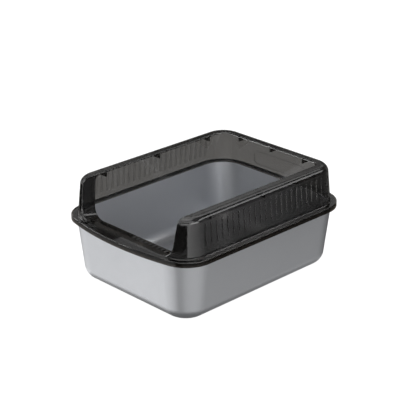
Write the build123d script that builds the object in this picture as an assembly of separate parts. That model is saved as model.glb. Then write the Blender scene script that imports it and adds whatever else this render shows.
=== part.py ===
from build123d import *
import math
import os

os.makedirs("parts", exist_ok=True)

# Litter box: a pressed steel pan, a smoke-clear moulded guard that rests on its rim, and four feet.
# Millimetres. +Z is up and the low entry faces -Y. The pieces are drawn about the centre of the
# rounded-rectangle rim, then moved so that the origin is on the floor under the middle of the whole part.

# ---- overall sizes ----
rim_length = 520.0          # guard rim along Y, without the bowed front
rim_width = 404.9           # guard rim across X
entry_bow = 12.0            # how far the rim bows out in front of the entry
foot_height = 1.8           # rubber feet lift the pan off the floor
pan_depth = 150.0           # pan bottom to the top of its rim
guard_rise = 87.4           # top of the guard above its rim plate

# ---- pan ----
steel = 0.8
pan_setback = 9.4           # pan wall inside the guard rim, at the rim
pan_draft = 17.0            # each wall leans in by this much from rim to bottom
pan_corner = 69.0           # corner radius of the pan wall at the rim
pan_bottom_round = 31.5
lip_depth = 5.0             # turned-down edge of the pan rim
lip_round = 1.5
fit_gap = 1.3               # clearance between the turned-down edge and the guard skirt

# ---- feet ----
foot_radius = 11.0
foot_inset = 24.0           # foot centre in from the edge of the flat bottom
foot_bevel = 0.5

# ---- guard rim ----
plastic = 2.4
skirt_drop = 8.2            # skirt below the rim plate underside
skirt_round = 1.6
rim_bead = 1.0              # raised edge of the rim plate
rim_corner = 72.6
entry_rim_corner = 66.0     # the two rim corners beside the entry
foot_bead_width = 1.8       # bead along the foot of the guard walls
foot_bead_height = 1.2
foot_bead_bevel = 0.7
bead_reach = 0.43           # part of the entry flare that the bead runs along

# ---- guard walls and top flange ----
wall_setback = 14.4         # guard wall inside the rim, at the rim plate
wall_lean = 8.5             # how far each wall leans in by the top
wall_corner = 58.2          # corner radius of the guard walls at the rim plate
top_round = 16.4
flange_side = 29.4          # wall top outline to the free edge of the top flange, at the sides
flange_back = 28.1          # the same at the back
flange_corner = 22.0
flange_lip = 3.0            # depth of the rounded free edge, a little more than the plate
edge_round = 4.0

# ---- entry ----
entry_turn = 18.0           # curve from the flange lip down to the free edge of each post
entry_draft = 0.08          # entry sides open out towards the top
entry_flare = 30.0          # curve from each post down to the sill
entry_slope = 0.106         # lean of the posts' free edge
sill_drop = 9.4             # sill falls this much from the wall line to its free edge
sill_depth = 41.6           # wall line to the free edge of the sill
sill_lap = 7.0              # strip that carries the sill into the rim plate
lap_reach = 0.3             # part of the entry flare that the strip runs along
skin_clear = 0.8            # window cut past the inside of the skin

# ---- ribs, gussets, treads and back frame ----
embed = 1.0                 # raised forms start this far inside the skin
rib_pitch = 16.4
rib_width = 4.6             # inside the skin, narrowing outwards
rib_shoulder = 1.2          # steep sides up to here, then a sloping cap
rib_proud = 1.6
rib_draft = 10.0            # degrees, below the shoulder
cap_draft = 50.0            # degrees, above the shoulder
rib_low = 22.5              # rib ends, above the rim plate
rib_high = 69.5
gusset_depth = 14.0
gusset_thick = 2.4
gusset_clear = 0.3          # gusset back from the free edge of the flange
gusset_end = 84.6           # outer side gussets in from the wall line
gusset_side = 88.05         # outer back gussets in from the wall line
tread_pitch = 12.5
tread_width = 6.0
tread_length = 12.0
tread_height = 0.5          # level tread tops above the sill at their outer ends
tread_setback = 15.0        # tread centres from the free edge of the sill
panel_width = 162.0         # low raised frame on the back wall
panel_height = 36.0
panel_top = 50.2            # above the rim plate
panel_corner = 12.0
panel_proud = 1.2
panel_line = 2.0            # width of the frame

# ---- derived levels and half sizes ----
half_x = rim_width / 2
half_y = rim_length / 2
pan_floor = foot_height
rim_seat = foot_height + pan_depth
plate_top = rim_seat + plastic
overall_top = plate_top + guard_rise
skirt_low = rim_seat - skirt_drop
base_x = half_x - wall_setback
base_y = half_y - wall_setback
front_line = -base_y
flange_x = base_x - wall_lean - flange_side
flange_y = base_y - wall_lean - flange_back
bow_half = half_x - rim_corner
bow_radius = (bow_half ** 2 + entry_bow ** 2) / (2 * entry_bow)
past = 60.0                 # how far cutting shapes run past the part
cut_low = skirt_low - past
cut_high = overall_top + past


def plate(half_w, front, back, corner, z):
    """Flat rounded rectangle at height z, from y=front to y=back."""
    shape = RectangleRounded(2 * half_w, back - front, corner)
    return Pos(0, (front + back) / 2, z) * shape


def rim_outline(inset, z):
    """Rim outline: rounded rectangle with a bowed front, moved in by inset."""
    w = half_x - inset
    back = half_y - inset
    bow_r = bow_radius - inset
    bow_mid = -half_y - entry_bow + inset
    front = bow_mid + bow_r - math.sqrt(bow_r ** 2 - w ** 2)
    lines = Line((w, front), (w, back)) + Line((w, back), (-w, back)) + Line((-w, back), (-w, front))
    bow = ThreePointArc((-w, front), (0, bow_mid), (w, front))
    face = make_face(lines + bow)
    back_corners = [v for v in face.vertices() if v.Y > 0]
    face = fillet(back_corners, rim_corner - inset)
    front_corners = [v for v in face.vertices() if v.Y < front + 1]
    face = fillet(front_corners, entry_rim_corner - inset)
    return Pos(0, 0, z) * face


def leaning_block(half_w, front, back, corner, low_z, high_z, slope):
    """Block on a rounded rectangle at low_z whose walls lean out by slope per unit of height."""
    base = plate(half_w, front, back, corner, low_z)
    return extrude(base, high_z - low_z, taper=-math.degrees(math.atan(slope)))


def edges_at(shape, z):
    """Edges of shape that lie flat at height z."""
    return [e for e in shape.edges() if abs(e.center().Z - z) < 0.01 and e.bounding_box().size.Z < 0.01]


# ================= pan =================
def pan_block(inset, low_z, top_z):
    """Solid with the outline of the pan, moved in by inset."""
    slope = pan_draft / pan_depth
    setback = pan_setback + slope * (rim_seat - low_z) + inset
    corner = pan_corner - slope * (rim_seat - low_z) - inset
    block = leaning_block(half_x - setback, setback - half_y, half_y - setback, corner, low_z, top_z, slope)
    return fillet(edges_at(block, low_z), pan_bottom_round - inset)


# the rim follows the inside of the guard skirt at a constant clearance
lip_inset = plastic + fit_gap
lip_outer = extrude(rim_outline(lip_inset, rim_seat - lip_depth), lip_depth)
lip_outer = fillet(edges_at(lip_outer, rim_seat), lip_round)
lip_inner = extrude(rim_outline(lip_inset + steel, rim_seat - lip_depth), lip_depth - steel)
lip_inner = fillet(edges_at(lip_inner, rim_seat - steel), lip_round - steel)
rim_channel = lip_outer - lip_inner

litter_pan = pan_block(0, pan_floor, rim_seat) + rim_channel
litter_pan = litter_pan - pan_block(steel, pan_floor + steel, rim_seat + steel)

# ================= feet =================
foot_x = half_x - pan_setback - pan_draft - pan_bottom_round - foot_inset
foot_y = half_y - pan_setback - pan_draft - pan_bottom_round - foot_inset
foot_places = {
    "foot_front_left": (-foot_x, -foot_y),
    "foot_front_right": (foot_x, -foot_y),
    "foot_back_left": (-foot_x, foot_y),
    "foot_back_right": (foot_x, foot_y),
}
foot_blank = Cylinder(foot_radius, foot_height, align=(Align.CENTER, Align.CENTER, Align.MIN))
foot_blank = chamfer(edges_at(foot_blank, 0), foot_bevel)


# ================= guard walls =================
def guard_block(inset, top_z, low_z):
    """Solid with the outline of the guard walls, moved in by inset."""
    slope = wall_lean / guard_rise
    setback = wall_setback - slope * (plate_top - low_z) + inset
    corner = wall_corner + slope * (plate_top - low_z) - inset
    block = leaning_block(half_x - setback, setback - half_y, half_y - setback, corner, low_z, top_z, -slope)
    return fillet(edges_at(block, top_z), top_round - inset)


def sill_height(y):
    return plate_top - sill_drop * (y - front_line) / sill_depth


def entry_half(z, grow=0.0):
    """Half width of the entry at height z."""
    return flange_x - entry_draft * (overall_top - z) + grow


def free_edge(z):
    """Y of the posts' free edge at height z."""
    return front_line + sill_depth + entry_slope * (z - (plate_top - sill_drop))


def entry_void(grow):
    """The entry trough and the top opening as two solids, enlarged by grow."""
    w_low = entry_half(cut_low, grow)
    w_high = entry_half(cut_high, grow)
    section = Polyline((-w_low, cut_low), (w_low, cut_low), (w_high, cut_high),
                       (-w_high, cut_high), (-w_low, cut_low))
    trough = extrude(Plane.XZ.offset(half_y + past) * make_face(section), -(half_y + past))
    y_front = -half_y - 2 * past
    below = Polyline((y_front, cut_low - past), (past, cut_low - past), (past, sill_height(past) - grow),
                     (y_front, sill_height(y_front) - grow), (y_front, cut_low - past))
    trough = trough - extrude(Plane.YZ.offset(-half_x) * make_face(below), 2 * half_x)
    long_edges = [e for e in trough.edges() if e.bounding_box().size.Y > half_y / 2]
    corners = [e for e in long_edges if abs(e.center().Z - sill_height(e.center().Y) + grow) < 0.2]
    trough = fillet(corners, entry_flare + grow)
    drop = entry_draft * (overall_top - cut_low)
    pocket = leaning_block(w_low, -past / 2, flange_y - drop + grow, flange_corner - drop + grow,
                           cut_low, cut_high, entry_draft)
    return trough, pocket


# the walls as one mass with the opening cut away, its edge rounded all the way round
trough, pocket = entry_void(0)
mass = guard_block(0, overall_top, cut_low) - trough - pocket
opening_edge = [e for e in mass.edges()
                if abs(e.center().Z - overall_top) < 0.01 and abs(e.center().X) < flange_x + 1]
mass = fillet(opening_edge, edge_round)

# hollow the mass, leaving a skin along the walls, the top flange and the entry
trough_skin, pocket_skin = entry_void(plastic)
inner = guard_block(plastic, overall_top - plastic, cut_low - plastic)
walls = mass - (inner - trough_skin - pocket_skin)

# window cut through the skin: leaves the turned-down lip, the post flanges and the sill
lip_low = overall_top - flange_lip
window_back = flange_y + plastic + skin_clear
window_half = flange_x + plastic + skin_clear
window_side = Polyline((free_edge(cut_low), cut_low), (free_edge(lip_low), lip_low),
                       (window_back, lip_low), (window_back, cut_low), (free_edge(cut_low), cut_low))
window = extrude(Plane.YZ.offset(-window_half) * make_face(window_side), 2 * window_half)
window_turn = [e for e in window.edges()
               if abs(e.center().Z - lip_low) < 0.01 and abs(e.center().Y - free_edge(lip_low)) < 0.01]
walls = walls - fillet(window_turn, entry_turn)

# below the rim plate only the sill and its flares remain
under_rim = Box(3 * half_x, 3 * half_y, 3 * past, align=(Align.CENTER, Align.CENTER, Align.MAX))
walls = walls - (Pos(0, 0, rim_seat) * under_rim - trough_skin)


# ================= guard rim =================
def wall_outline(grow, z):
    """Outline of the guard walls at the rim plate, enlarged by grow."""
    return plate(base_x + grow, -base_y - grow, base_y + grow, wall_corner + grow, z)


weld = 0.5                  # overlap of two forms that make one moulding
skirt_top = plate_top + rim_bead
rim_plate = extrude(rim_outline(weld, rim_seat) - wall_outline(-weld, rim_seat), plastic)
skirt = extrude(rim_outline(0, skirt_low), skirt_top - skirt_low)
skirt = fillet(edges_at(skirt, skirt_top), skirt_round)
skirt = skirt - extrude(rim_outline(plastic, skirt_low - weld), skirt_top - skirt_low + 2 * weld)

# bead along the foot of the walls, stopping where the entry flares into the sill
flare_start = entry_half(plate_top) - entry_flare
bead_top = plate_top + foot_bead_height
foot_bead = extrude(wall_outline(foot_bead_width, rim_seat), bead_top - rim_seat)
foot_bead = chamfer(edges_at(foot_bead, bead_top), foot_bead_bevel)
foot_bead = foot_bead - extrude(wall_outline(-embed, rim_seat - weld), bead_top - rim_seat + 2 * weld)
bead_stop = flare_start + bead_reach * entry_flare
foot_bead = foot_bead - Pos(0, front_line, plate_top) * Box(2 * bead_stop, past / 2, past / 2)

# strip that carries the sill into the rim plate
strip_half = flare_start + lap_reach * entry_flare
strip_front = front_line - 2 * embed
strip_back = front_line + sill_lap
strip = Polyline((strip_front, rim_seat), (strip_front, plate_top), (front_line, plate_top),
                 (strip_back, sill_height(strip_back)), (strip_back, rim_seat), (strip_front, rim_seat))
sill_strip = extrude(Plane.YZ.offset(-strip_half) * make_face(strip), 2 * strip_half)

# ================= gussets under the top flange =================
mid_skin = guard_block(plastic / 2, overall_top - plastic / 2, rim_seat)
gusset_low = overall_top - gusset_depth
side_gusset = Box(base_x - flange_x, gusset_thick, gusset_depth,
                  align=(Align.MIN, Align.CENTER, Align.MIN))
back_gusset = Box(gusset_thick, base_y - flange_y, gusset_depth,
                  align=(Align.CENTER, Align.MIN, Align.MIN))
gussets = []
for step in (-1, 0, 1):
    y = step * (base_y - gusset_end)
    x = step * (base_x - gusset_side)
    right = Pos(flange_x + gusset_clear, y, gusset_low) * side_gusset & mid_skin
    gussets.append(right)
    gussets.append(mirror(right, about=Plane.YZ))
    gussets.append(Pos(x, flange_y + gusset_clear, gusset_low) * back_gusset & mid_skin)

# ================= ribs, back frame and treads =================
lean = math.atan2(wall_lean, guard_rise)


def ridge(width, length):
    """Low bar with its foot inside the skin: steep sides up to the shoulder, a sloping cap above."""
    steep = embed + rib_shoulder
    narrower = 2 * steep * math.tan(math.radians(rib_draft))
    bar = extrude(Rectangle(width, length), steep, taper=rib_draft)
    cap = extrude(Rectangle(width - narrower, length - narrower), rib_proud - rib_shoulder, taper=cap_draft)
    return Pos(0, 0, -embed) * (bar + Pos(0, 0, steep) * cap)


def wall_plane(height, along):
    """Plane on the outer face of the +X wall, height above the rim plate, its X axis along +Y."""
    x = base_x - wall_lean * height / guard_rise
    normal = (math.cos(lean), 0, math.sin(lean))
    return Plane(origin=(x, along, plate_top + height), x_dir=(0, 1, 0), z_dir=normal)


# vertical ribs fill the straight part of each side wall
rib = ridge(rib_width, rib_high - rib_low)
ribs_each_way = int((base_y - wall_corner - rib_width / 2) / rib_pitch)
ribs = []
for k in range(-ribs_each_way, ribs_each_way + 1):
    right = wall_plane((rib_low + rib_high) / 2, k * rib_pitch) * rib
    ribs.append(right)
    ribs.append(mirror(right, about=Plane.YZ))

panel_mid = panel_top - panel_height / 2
panel_y = base_y - wall_lean * panel_mid / guard_rise
panel_plane = Plane(origin=(0, panel_y, plate_top + panel_mid), x_dir=(-1, 0, 0),
                    z_dir=(0, math.cos(lean), math.sin(lean)))
frame_face = RectangleRounded(panel_width, panel_height, panel_corner)
frame_hole = RectangleRounded(panel_width - 2 * panel_line, panel_height - 2 * panel_line,
                              panel_corner - panel_line)
back_frame = panel_plane * Pos(0, 0, -embed) * extrude(frame_face - frame_hole, embed + panel_proud)

# anti-slip treads with level tops fill the flat part of the sloping sill
tread_out = front_line + sill_depth - tread_setback - tread_length / 2
tread_in = tread_out + tread_length
tread_top = sill_height(tread_out) + tread_height
tread_side = Polyline((tread_out, sill_height(tread_out) - embed), (tread_out, tread_top),
                      (tread_in, tread_top), (tread_in, sill_height(tread_in) - embed),
                      (tread_out, sill_height(tread_out) - embed))
tread = extrude(Plane.YZ.offset(-tread_width / 2) * make_face(tread_side), tread_width)
tread_count = int(2 * flare_start / tread_pitch)
treads = []
for k in range(tread_count):
    treads.append(Pos((k - (tread_count - 1) / 2) * tread_pitch, 0, 0) * tread)

# the guard is one moulding
splash_guard = walls + ribs
splash_guard = splash_guard + [back_frame]
splash_guard = splash_guard + gussets
splash_guard = splash_guard + (rim_plate + skirt + foot_bead + sill_strip)
splash_guard = splash_guard + treads

# ================= output, one file per piece, centred on the overall length =================
nodes = {"litter_pan": litter_pan, "splash_guard": splash_guard}
for name, (x, y) in foot_places.items():
    nodes[name] = Pos(x, y, 0) * foot_blank
for name, shape in nodes.items():
    shape = Pos(0, entry_bow / 2, 0) * shape
    export_step(shape, "parts/" + name + ".step")
    box = shape.bounding_box()
    print(name, len(shape.solids()), round(shape.volume), shape.is_valid,
          [round(v, 1) for v in (*box.min, *box.max)])
print("ribs each side", 2 * ribs_each_way + 1, "treads", tread_count)
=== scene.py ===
import math
from collections import namedtuple

import bmesh
import bpy
from mathutils import Matrix, Vector


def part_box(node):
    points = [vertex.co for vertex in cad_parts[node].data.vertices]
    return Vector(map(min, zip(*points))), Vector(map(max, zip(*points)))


# metres and, where a comment says so, degrees; colours are linear red, green, blue and alpha

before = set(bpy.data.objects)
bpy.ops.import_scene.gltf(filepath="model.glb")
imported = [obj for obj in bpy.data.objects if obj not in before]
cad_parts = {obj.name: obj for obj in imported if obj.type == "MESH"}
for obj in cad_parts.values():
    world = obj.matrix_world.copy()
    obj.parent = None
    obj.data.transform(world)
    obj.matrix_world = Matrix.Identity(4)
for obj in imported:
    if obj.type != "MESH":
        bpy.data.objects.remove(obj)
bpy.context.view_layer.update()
scene = bpy.context.scene


# ================= camera =================
CAMERA_AZIMUTH = math.radians(45.58)     # from the front (-Y) round towards +X
CAMERA_ELEVATION = math.radians(22.9)
CAMERA_DISTANCE = 2.994
CAMERA_REACH = 60                        # sees as far as this, well past the backdrop
FOCAL_PIXELS = 1327.27                   # focal length for a picture of the width below
PICTURE_PIXELS = 400
SENSOR_MM = 36.0
AIM = Vector((0.0, 0.006, 0.1118))       # point of the object that the view is measured from
AIM_RIGHT = -0.0128                      # view centre from that point
AIM_UP = 0.0528


def add_camera():
    sin_az, cos_az = math.sin(CAMERA_AZIMUTH), math.cos(CAMERA_AZIMUTH)
    sin_el, cos_el = math.sin(CAMERA_ELEVATION), math.cos(CAMERA_ELEVATION)
    back = Vector((sin_az * cos_el, -cos_az * cos_el, sin_el))
    right = Vector((cos_az, sin_az, 0))
    up = back.cross(right)
    data = bpy.data.cameras.new("camera")
    data.sensor_width = SENSOR_MM
    data.lens = SENSOR_MM * FOCAL_PIXELS / PICTURE_PIXELS
    data.clip_end = CAMERA_REACH
    camera = bpy.data.objects.new("camera", data)
    place = AIM + AIM_RIGHT * right + AIM_UP * up + CAMERA_DISTANCE * back
    axes = Matrix((right, up, back)).transposed().to_4x4()
    camera.matrix_world = Matrix.Translation(place) @ axes
    scene.collection.objects.link(camera)
    scene.camera = camera


# ================= node helpers =================
def feed(tree, socket, source):
    """Link another node's output to the socket, or set it to a plain number or colour."""
    if isinstance(source, bpy.types.NodeSocket):
        tree.links.new(source, socket)
    else:
        socket.default_value = source


def noise(tree, scale, detail):
    """Noise from 0 to 1 over object space."""
    place = tree.nodes.new("ShaderNodeTexCoord")
    texture = tree.nodes.new("ShaderNodeTexNoise")
    texture.inputs["Scale"].default_value = scale
    texture.inputs["Detail"].default_value = detail
    feed(tree, texture.inputs["Vector"], place.outputs["Object"])
    return texture.outputs["Fac"]


def spread(tree, share, low, high):
    """Map a share from 0 to 1 onto the range from low to high."""
    node = tree.nodes.new("ShaderNodeMapRange")
    node.inputs["To Min"].default_value = low
    node.inputs["To Max"].default_value = high
    feed(tree, node.inputs["Value"], share)
    return node.outputs["Result"]


def smooth_step(tree, value, start, end):
    """0 at the start value, 1 at the end value and a soft change between."""
    node = tree.nodes.new("ShaderNodeMapRange")
    node.interpolation_type = "SMOOTHSTEP"
    node.inputs["From Min"].default_value = start
    node.inputs["From Max"].default_value = end
    feed(tree, node.inputs["Value"], value)
    return node.outputs["Result"]


def colour_mix(tree, share, first, second):
    """The first colour where the share is 0 and the second where it is 1."""
    node = tree.nodes.new("ShaderNodeMix")
    node.data_type = "RGBA"
    feed(tree, node.inputs["A"], first)
    feed(tree, node.inputs["B"], second)
    feed(tree, node.inputs["Factor"], share)
    return node.outputs["Result"]


def split_xyz(tree, vector):
    node = tree.nodes.new("ShaderNodeSeparateXYZ")
    feed(tree, node.inputs["Vector"], vector)
    return node.outputs


def calculate(tree, operation, *values):
    node = tree.nodes.new("ShaderNodeMath")
    node.operation = operation
    for socket, value in zip(node.inputs, values):
        feed(tree, socket, value)
    return node.outputs["Value"]


# ================= materials =================
STEEL_COLOURS = (0.50, 0.51, 0.53, 1), (0.56, 0.57, 0.59, 1)
STEEL_ROUGHNESS = 0.36, 0.43
WALL_TINTS = (0.080, 0.077, 0.073, 1), (0.092, 0.089, 0.085, 1)
RIM_TINTS = (0.048, 0.040, 0.032, 1), (0.056, 0.047, 0.038, 1)
RIM_TOP = 0.0085                         # the guard has the rim's tint up to here above its lowest edge
WALL_START = 0.0120                      # and the wall's tint from here up
PLASTIC_IOR = 1.49
PLASTIC_ROUGHNESS = 0.01, 0.03
RUBBER_COLOURS = (0.03, 0.03, 0.03, 1), (0.06, 0.06, 0.06, 1)
RUBBER_ROUGHNESS = 0.75, 0.9

# scale and detail of each noise
STEEL_CLOUDS = 6, 4
STEEL_SMEARS = 60, 6
STEEL_GRAIN = 900, 2
PLASTIC_CLOUDS = 8, 2
PLASTIC_SMEARS = 90, 3
PLASTIC_WAVES = 25, 2
RUBBER_GRAIN = 300, 4

# strength and depth of each bump
STEEL_BUMP = 0.06, 0.0002
PLASTIC_BUMP = 0.01, 0.001


def new_material(name):
    material = bpy.data.materials.new(name)
    material.use_nodes = True
    tree = material.node_tree
    return material, tree, tree.nodes["Principled BSDF"]


def add_bump(tree, shader, height, strength, depth):
    bump = tree.nodes.new("ShaderNodeBump")
    bump.inputs["Strength"].default_value = strength
    bump.inputs["Distance"].default_value = depth
    feed(tree, bump.inputs["Height"], height)
    feed(tree, shader.inputs["Normal"], bump.outputs["Normal"])


def steel_material():
    material, tree, shader = new_material("satin_steel")
    colour = colour_mix(tree, noise(tree, *STEEL_CLOUDS), *STEEL_COLOURS)
    roughness = spread(tree, noise(tree, *STEEL_SMEARS), *STEEL_ROUGHNESS)
    shader.inputs["Metallic"].default_value = 1.0
    feed(tree, shader.inputs["Base Color"], colour)
    feed(tree, shader.inputs["Roughness"], roughness)
    add_bump(tree, shader, noise(tree, *STEEL_GRAIN), *STEEL_BUMP)
    return material


def smoke_material(guard_bottom):
    """See-through smoke plastic with a darker rim, for a guard with its lowest edge at the given height."""
    material, tree, shader = new_material("smoke_plastic")
    clouds = noise(tree, *PLASTIC_CLOUDS)
    rim = colour_mix(tree, clouds, *RIM_TINTS)
    wall = colour_mix(tree, clouds, *WALL_TINTS)
    height = split_xyz(tree, tree.nodes.new("ShaderNodeTexCoord").outputs["Object"])["Z"]
    above_rim = smooth_step(tree, height, guard_bottom + RIM_TOP, guard_bottom + WALL_START)
    roughness = spread(tree, noise(tree, *PLASTIC_SMEARS), *PLASTIC_ROUGHNESS)
    shader.inputs["Transmission Weight"].default_value = 1.0
    shader.inputs["IOR"].default_value = PLASTIC_IOR
    feed(tree, shader.inputs["Base Color"], colour_mix(tree, above_rim, rim, wall))
    feed(tree, shader.inputs["Roughness"], roughness)
    add_bump(tree, shader, noise(tree, *PLASTIC_WAVES), *PLASTIC_BUMP)
    return material


def rubber_material():
    material, tree, shader = new_material("black_rubber")
    grain = noise(tree, *RUBBER_GRAIN)
    feed(tree, shader.inputs["Base Color"], colour_mix(tree, grain, *RUBBER_COLOURS))
    feed(tree, shader.inputs["Roughness"], spread(tree, grain, *RUBBER_ROUGHNESS))
    return material


def finish_node(name, material):
    """Give one CAD node its material."""
    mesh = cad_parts[name].data
    mesh.materials.clear()
    mesh.materials.append(material)


# ================= floor and backdrop =================
ROOM_RADIUS = 9.0
ROOM_HEIGHT = 18.0
ROOM_SIDES = 96
BACKDROP_DROP = 0.01                     # foot of the backdrop below the floor
STAGE_COLOUR = (0.12, 0.12, 0.12, 1)
WHITE = (1, 1, 1, 1)
STAGE_GLOW = 0.97


def stage_material(name):
    """Plain pale surface that is nearly even in brightness."""
    material, tree, shader = new_material(name)
    shader.inputs["Base Color"].default_value = STAGE_COLOUR
    shader.inputs["Roughness"].default_value = 1.0
    shader.inputs["Specular IOR Level"].default_value = 0.0
    shader.inputs["Emission Color"].default_value = WHITE
    shader.inputs["Emission Strength"].default_value = STAGE_GLOW
    return material


def add_stage(name, add_shape):
    """A pale surface seen directly and through the plastic, which casts no light on the part."""
    shape = bmesh.new()
    add_shape(shape)
    mesh = bpy.data.meshes.new(name)
    shape.to_mesh(mesh)
    shape.free()
    mesh.materials.append(stage_material(name))
    piece = bpy.data.objects.new(name, mesh)
    piece.visible_glossy = False
    piece.visible_diffuse = False
    piece.visible_shadow = False
    scene.collection.objects.link(piece)


def floor_disc(shape):
    bmesh.ops.create_circle(shape, cap_ends=True, segments=ROOM_SIDES, radius=ROOM_RADIUS)


def backdrop_wall(shape):
    """Ring wall round the floor, closed far above and just below it."""
    ends = bmesh.ops.create_cone(shape, cap_ends=True, segments=ROOM_SIDES, radius1=ROOM_RADIUS,
                                 radius2=ROOM_RADIUS, depth=ROOM_HEIGHT)
    bmesh.ops.translate(shape, verts=ends["verts"], vec=(0, 0, ROOM_HEIGHT / 2 - BACKDROP_DROP))


# ================= light =================
# A card is a soft patch of light in the sky or under the part. Its azimuth runs from +X towards +Y, and all
# but the last two values are in degrees. The fade is the share of its strength that it gains at the end of
# lower azimuth and loses at the other.
LightCard = namedtuple("LightCard", "azimuth elevation half_width half_height soft_edge strength fade")
ALL_ROUND = 200                          # half width of a card that goes right round the part
LIGHT_CARDS = {
    "floor_below": LightCard(0, -70, ALL_ROUND, 28, 4, 0.12, 0),
    "floor_ring": LightCard(0, -37, ALL_ROUND, 7, 3, 0.51, 0),
    "floor_front": LightCard(-142, -33, 57, 7, 5, 1.22, 0),
    "floor_corner": LightCard(-12, -37, 46, 10, 8, 0.36, 0.2),
    "low_right": LightCard(5, -8, 41, 9, 2, 1.15, 0.85),
    "front_fill": LightCard(-90, 22, 112, 7, 3, 2.2, 0),
    "left_softbox": LightCard(-148, 16, 20, 14, 4, 4.8, 0),
    "near_softbox": LightCard(-42, 10, 24, 12, 5, 1.8, 0),
    "right_softbox": LightCard(0, 20, 20, 14, 5, 3.6, 0),
    "key_strip": LightCard(-55, 42, 60, 4, 2, 3.6, 0),
    "right_edge": LightCard(52, 36, 22, 6, 2, 3.6, 0.5),
    "high_front": LightCard(-80, 62, 85, 10, 5, 2.1, 0),
    "back_high": LightCard(130, 56, 42, 14, 6, 1.6, 0),
    "back_low": LightCard(136, 29, 24, 7.5, 1.2, 0.38, 0),
    "overhead": LightCard(0, 90, ALL_ROUND, 18, 6, 3.0, 0),
}
AMBIENT = 0.03                           # even light from all sides, under the cards


def inside(tree, offset, half_size, soft_edge):
    """1 where the offset from a card's middle is within its half size and 0 past it, with a soft edge."""
    distance = calculate(tree, "ABSOLUTE", offset)
    outer = math.radians(half_size + soft_edge)
    inner = math.radians(half_size - soft_edge)
    return smooth_step(tree, distance, outer, inner)


def card_light(tree, direction, elevation, card):
    """Strength of one card's light from each direction."""
    turn = tree.nodes.new("ShaderNodeVectorRotate")
    turn.rotation_type = "Z_AXIS"
    turn.inputs["Angle"].default_value = -math.radians(card.azimuth)
    feed(tree, turn.inputs["Vector"], direction)
    turned = split_xyz(tree, turn.outputs["Vector"])
    across = calculate(tree, "ARCTAN2", turned["Y"], turned["X"])
    above = calculate(tree, "SUBTRACT", elevation, math.radians(card.elevation))
    in_width = inside(tree, across, card.half_width, card.soft_edge)
    in_height = inside(tree, above, card.half_height, card.soft_edge)
    shape = calculate(tree, "MULTIPLY", in_width, in_height)
    if card.fade:
        card_end = math.radians(card.half_width + card.soft_edge)
        slope = calculate(tree, "MULTIPLY", across, -card.fade / card_end)
        shape = calculate(tree, "MULTIPLY", shape, calculate(tree, "ADD", slope, 1.0))
    return calculate(tree, "MULTIPLY", shape, card.strength)


def add_world():
    world = bpy.data.worlds.new("studio")
    world.use_nodes = True
    tree = world.node_tree
    direction = tree.nodes.new("ShaderNodeTexCoord").outputs["Generated"]
    elevation = calculate(tree, "ARCSINE", split_xyz(tree, direction)["Z"])
    light = AMBIENT
    for card in LIGHT_CARDS.values():
        light = calculate(tree, "ADD", light, card_light(tree, direction, elevation, card))
    background = tree.nodes["Background"]
    background.inputs["Color"].default_value = WHITE
    feed(tree, background.inputs["Strength"], light)
    scene.world = world


add_camera()
add_stage("floor", floor_disc)
add_stage("backdrop", backdrop_wall)
add_world()
scene.view_settings.view_transform = "Standard"

finish_node("litter_pan", steel_material())
finish_node("splash_guard", smoke_material(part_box("splash_guard")[0][2]))
rubber = rubber_material()
for end in ("front", "back"):
    for side in ("left", "right"):
        finish_node(f"foot_{end}_{side}", rubber)
